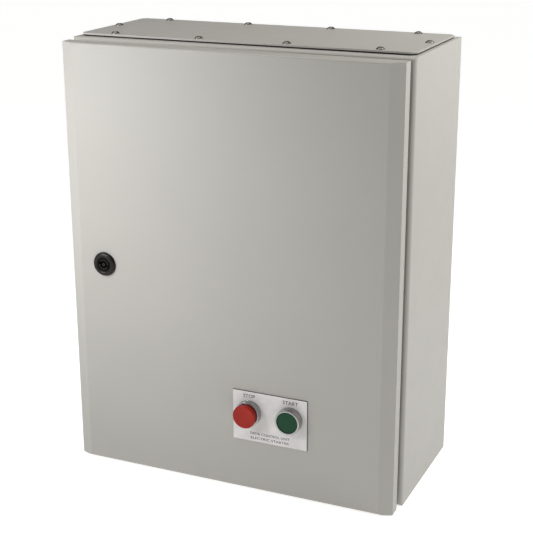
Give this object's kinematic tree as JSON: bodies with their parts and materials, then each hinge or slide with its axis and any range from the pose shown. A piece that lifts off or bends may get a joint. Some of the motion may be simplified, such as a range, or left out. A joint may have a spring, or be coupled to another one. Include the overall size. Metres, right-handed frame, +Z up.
{
  "type": "magnetic motor starter",
  "caption": "Magnetic motor starter: wall-mounted steel enclosure with a lockable hinged door, push buttons, contactor, overload relay, terminals and wiring.",
  "frame": {"origin": "centre of the enclosure's flat base", "axes": "+Z up, +Y towards the wall, +X to the right as seen from the door"},
  "size_m": [0.4, 0.215, 0.5061],
  "materials": {
    "powder_coat": "light grey textured powder coat",
    "zinc_steel": "zinc plated",
    "galvanised": "galvanised sheet",
    "lamination": "ground magnet steel",
    "satin_chrome": "satin",
    "black_seal": "matt",
    "black_plastic": "fine grain",
    "dark_plastic": "fine grain",
    "grey_plastic": "fine grain",
    "light_plastic": "fine grain",
    "red_plastic": "smooth",
    "green_plastic": "smooth",
    "blue_plastic": "smooth",
    "white_laminate": "satin laminate with dark core",
    "copper_wire": "wound, varnished",
    "brass_contact": "plated",
    "earth_plastic": "fine grain",
    "lead_insulation": "smooth"
  },
  "bodies": {
    "enclosure": {"enclosure_body": "powder_coat", "gland_gasket": "black_seal", "gland_plate": "powder_coat", "gland_plate_screws": "zinc_steel", "hinge_upper_frame_leaf": "zinc_steel", "hinge_upper_pin": "zinc_steel", "hinge_lower_frame_leaf": "zinc_steel", "hinge_lower_pin": "zinc_steel", "mounting_plate": "galvanised", "panel_studs": "zinc_steel", "panel_nuts": "zinc_steel", "din_rail": "galvanised", "trunking": "grey_plastic", "trunking_lid": "grey_plastic", "contactor_core": "lamination", "contactor_coil": "copper_wire", "contactor_base": "dark_plastic", "contactor_cover": "dark_plastic", "contactor_fixed_contacts": "brass_contact", "contactor_terminal_screws": "zinc_steel", "contactor_springs": "zinc_steel", "overload_housing": "light_plastic", "overload_link_bars": "brass_contact", "overload_terminals": "brass_contact", "overload_bimetals": "brass_contact", "overload_screws": "zinc_steel", "breaker_housing": "light_plastic", "terminal_blocks": "grey_plastic", "earth_terminal": "earth_plastic", "power_leads": "lead_insulation"},
    "door": {"door": "powder_coat", "door_gasket": "black_seal", "hinge_upper_door_leaf": "zinc_steel", "hinge_lower_door_leaf": "zinc_steel", "lock_housing": "black_plastic", "lock_nut": "zinc_steel", "legend_plate": "white_laminate", "stop_bezel": "satin_chrome", "stop_spring": "zinc_steel", "stop_fixing_nut": "black_plastic", "stop_contact_block": "dark_plastic", "start_bezel": "satin_chrome", "start_spring": "zinc_steel", "start_fixing_nut": "black_plastic", "start_contact_block": "dark_plastic", "door_leads": "lead_insulation"},
    "lock_cam": {"lock_core": "black_plastic", "lock_cam": "zinc_steel", "lock_cam_screw": "zinc_steel"},
    "stop_button": {"stop_head": "red_plastic", "stop_plunger": "light_plastic"},
    "start_button": {"start_head": "green_plastic", "start_plunger": "light_plastic"},
    "contactor_armature": {"contactor_armature": "lamination", "contactor_carrier": "light_plastic", "contactor_bridges": "brass_contact"},
    "overload_dial": {"overload_dial": "grey_plastic"},
    "overload_reset": {"overload_reset_button": "blue_plastic"},
    "overload_test": {"overload_test_button": "red_plastic"},
    "breaker_toggle": {"breaker_toggle": "black_plastic"}
  },
  "joints": [
    {"name": "door_hinge", "type": "hinge", "parent": "enclosure", "child": "door", "pos_m": [0.1925, -0.095, 0.25], "axis": [0, 0, 1], "range_deg": [0, 120], "deforming": ["door_leads"]},
    {"name": "lock_turn", "type": "hinge", "parent": "door", "child": "lock_cam", "pos_m": [-0.152, -0.1, 0.249], "axis": [0, 1, 0], "range_deg": [0, 90]},
    {"name": "stop_press", "type": "slide", "parent": "door", "child": "stop_button", "axis": [0, 1, 0], "range_m": [0, 0.003], "stiffness_N_per_m": 900, "springref_m": -0.004, "deforming": ["stop_spring"]},
    {"name": "start_press", "type": "slide", "parent": "door", "child": "start_button", "axis": [0, 1, 0], "range_m": [0, 0.003], "stiffness_N_per_m": 900, "springref_m": -0.004, "deforming": ["start_spring"]},
    {"name": "contactor_pull_in", "type": "slide", "parent": "enclosure", "child": "contactor_armature", "axis": [0, 1, 0], "range_m": [0, 0.006], "stiffness_N_per_m": 2000, "springref_m": -0.006, "deforming": ["contactor_springs"]},
    {"name": "overload_setting", "type": "hinge", "parent": "enclosure", "child": "overload_dial", "pos_m": [-0.015, -0.01, 0.206], "axis": [0, 1, 0], "range_deg": [0, 270]},
    {"name": "overload_reset_press", "type": "slide", "parent": "enclosure", "child": "overload_reset", "axis": [0, 1, 0], "range_m": [0, 0.003], "stiffness_N_per_m": 400, "springref_m": -0.002},
    {"name": "overload_test_press", "type": "slide", "parent": "enclosure", "child": "overload_test", "axis": [0, 1, 0], "range_m": [0, 0.002], "stiffness_N_per_m": 400, "springref_m": -0.002},
    {"name": "breaker_switch", "type": "hinge", "parent": "enclosure", "child": "breaker_toggle", "pos_m": [0.095, 0.0075, 0.425], "axis": [-1, 0, 0], "range_deg": [0, 40]}
  ]
}
